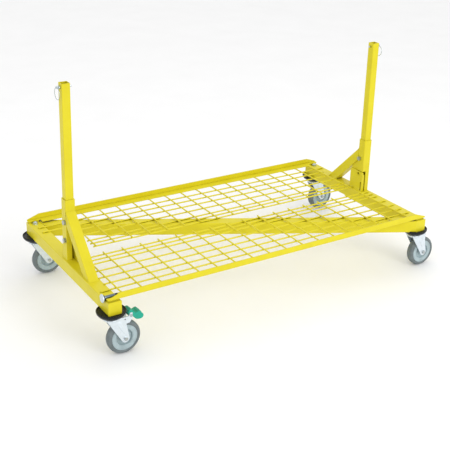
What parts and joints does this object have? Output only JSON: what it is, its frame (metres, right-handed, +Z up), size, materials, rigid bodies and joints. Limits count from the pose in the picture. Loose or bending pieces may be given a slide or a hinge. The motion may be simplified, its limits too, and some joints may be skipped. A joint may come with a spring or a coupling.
{
  "type": "z-frame mesh deck trolley",
  "caption": "Wheeled Z-frame trolley with wire mesh deck panels, a braced square post on each end foot, swivel casters under bumper discs, and a ringed pull pin through each post.",
  "frame": {"origin": "centre of the trolley's bounding box, on the floor, with all four casters trailing towards +X", "axes": "+X along the trolley towards the right foot, +Y towards the rear edge angle, +Z up"},
  "size_m": [1.5772, 0.808, 0.904],
  "materials": {
    "yellow_paint": "gloss powder coat",
    "zinc": "bright zinc plate",
    "bright_plate": "bright",
    "black_plastic": "satin",
    "tread": "matte",
    "wheel_grey": "satin",
    "pedal_green": "satin",
    "shoe_rubber": "matte"
  },
  "bodies": {
    "base": {"foot_tube_left": "yellow_paint", "foot_tube_right": "yellow_paint", "foot_end_plates": "yellow_paint", "diagonal_rail": "yellow_paint", "stub_bracket_left": "yellow_paint", "stub_bracket_right": "yellow_paint", "post_socket_left": "yellow_paint", "post_socket_right": "yellow_paint", "brace_left": "yellow_paint", "brace_right": "yellow_paint", "mast_left": "yellow_paint", "mast_right": "yellow_paint", "edge_angle_front": "yellow_paint", "edge_angle_rear": "yellow_paint", "edge_seat_pads": "yellow_paint", "gusset_left": "yellow_paint", "gusset_right": "yellow_paint", "mesh_panel_front": "yellow_paint", "mesh_panel_rear": "yellow_paint", "post_bolts_upper": "zinc", "post_bolts_lower": "zinc", "corner_pin": "zinc", "caster_stem_lf": "zinc", "caster_stem_rf": "zinc", "caster_stem_lr": "zinc", "caster_stem_rr": "zinc", "caster_cap_nuts": "bright_plate", "corner_pin_sleeves": "black_plastic", "bumper_disc_lf": "black_plastic", "bumper_disc_rf": "black_plastic", "bumper_disc_lr": "black_plastic", "bumper_disc_rr": "black_plastic"},
    "caster_lf": {"fork_lf": "zinc", "axle_lf": "zinc", "brake_pivot": "zinc"},
    "wheel_lf": {"wheel_core_lf": "wheel_grey", "tyre_lf": "tread"},
    "caster_rf": {"fork_rf": "zinc", "axle_rf": "zinc"},
    "wheel_rf": {"wheel_core_rf": "wheel_grey", "tyre_rf": "tread"},
    "caster_lr": {"fork_lr": "zinc", "axle_lr": "zinc"},
    "wheel_lr": {"wheel_core_lr": "wheel_grey", "tyre_lr": "tread"},
    "caster_rr": {"fork_rr": "zinc", "axle_rr": "zinc"},
    "wheel_rr": {"wheel_core_rr": "wheel_grey", "tyre_rr": "tread"},
    "brake_pedal": {"brake_pedal": "pedal_green"},
    "brake_shoe": {"brake_shoe": "shoe_rubber"},
    "pull_pin_left": {"pull_pin_left": "bright_plate"},
    "pin_ring_left": {"pin_ring_left": "bright_plate"},
    "pull_pin_right": {"pull_pin_right": "bright_plate"},
    "pin_ring_right": {"pin_ring_right": "bright_plate"}
  },
  "joints": [
    {"name": "swivel_lf", "type": "hinge", "parent": "base", "child": "caster_lf", "pos_m": [-0.73555, -0.351, 0.147], "axis": [0, 0, 1], "continuous": true},
    {"name": "wheel_spin_lf", "type": "hinge", "parent": "caster_lf", "child": "wheel_lf", "pos_m": [-0.69115, -0.351, 0.0635], "axis": [0, 1, 0], "continuous": true},
    {"name": "swivel_rf", "type": "hinge", "parent": "base", "child": "caster_rf", "pos_m": [0.68065, -0.351, 0.147], "axis": [0, 0, 1], "continuous": true},
    {"name": "wheel_spin_rf", "type": "hinge", "parent": "caster_rf", "child": "wheel_rf", "pos_m": [0.72505, -0.351, 0.0635], "axis": [0, 1, 0], "continuous": true},
    {"name": "swivel_lr", "type": "hinge", "parent": "base", "child": "caster_lr", "pos_m": [-0.73555, 0.351, 0.147], "axis": [0, 0, 1], "continuous": true},
    {"name": "wheel_spin_lr", "type": "hinge", "parent": "caster_lr", "child": "wheel_lr", "pos_m": [-0.69115, 0.351, 0.0635], "axis": [0, 1, 0], "continuous": true},
    {"name": "swivel_rr", "type": "hinge", "parent": "base", "child": "caster_rr", "pos_m": [0.68065, 0.351, 0.147], "axis": [0, 0, 1], "continuous": true},
    {"name": "wheel_spin_rr", "type": "hinge", "parent": "caster_rr", "child": "wheel_rr", "pos_m": [0.72505, 0.351, 0.0635], "axis": [0, 1, 0], "continuous": true},
    {"name": "brake_pedal_tilt", "type": "hinge", "parent": "caster_lf", "child": "brake_pedal", "pos_m": [-0.66955, -0.351, 0.15], "axis": [0, 1, 0], "range_deg": [0, 12]},
    {"name": "brake_shoe_drop", "type": "slide", "parent": "caster_lf", "child": "brake_shoe", "axis": [0, 0, -1], "range_m": [0, 0.0037]},
    {"name": "pull_pin_out_left", "type": "slide", "parent": "base", "child": "pull_pin_left", "axis": [-1, 0, 0], "range_m": [0, 0.045]},
    {"name": "ring_swing_left", "type": "hinge", "parent": "pull_pin_left", "child": "pin_ring_left", "pos_m": [-0.76292, 0, 0.889], "axis": [0, 1, 0], "range_deg": [-12, 90]},
    {"name": "pull_pin_out_right", "type": "slide", "parent": "base", "child": "pull_pin_right", "axis": [1, 0, 0], "range_m": [0, 0.045]},
    {"name": "ring_swing_right", "type": "hinge", "parent": "pull_pin_right", "child": "pin_ring_right", "pos_m": [0.70803, 0, 0.889], "axis": [0, -1, 0], "range_deg": [-12, 90]}
  ],
  "couplings": [
    {"joint": "brake_shoe_drop", "follows": "brake_pedal_tilt", "m_per_rad": 0.017189}
  ]
}
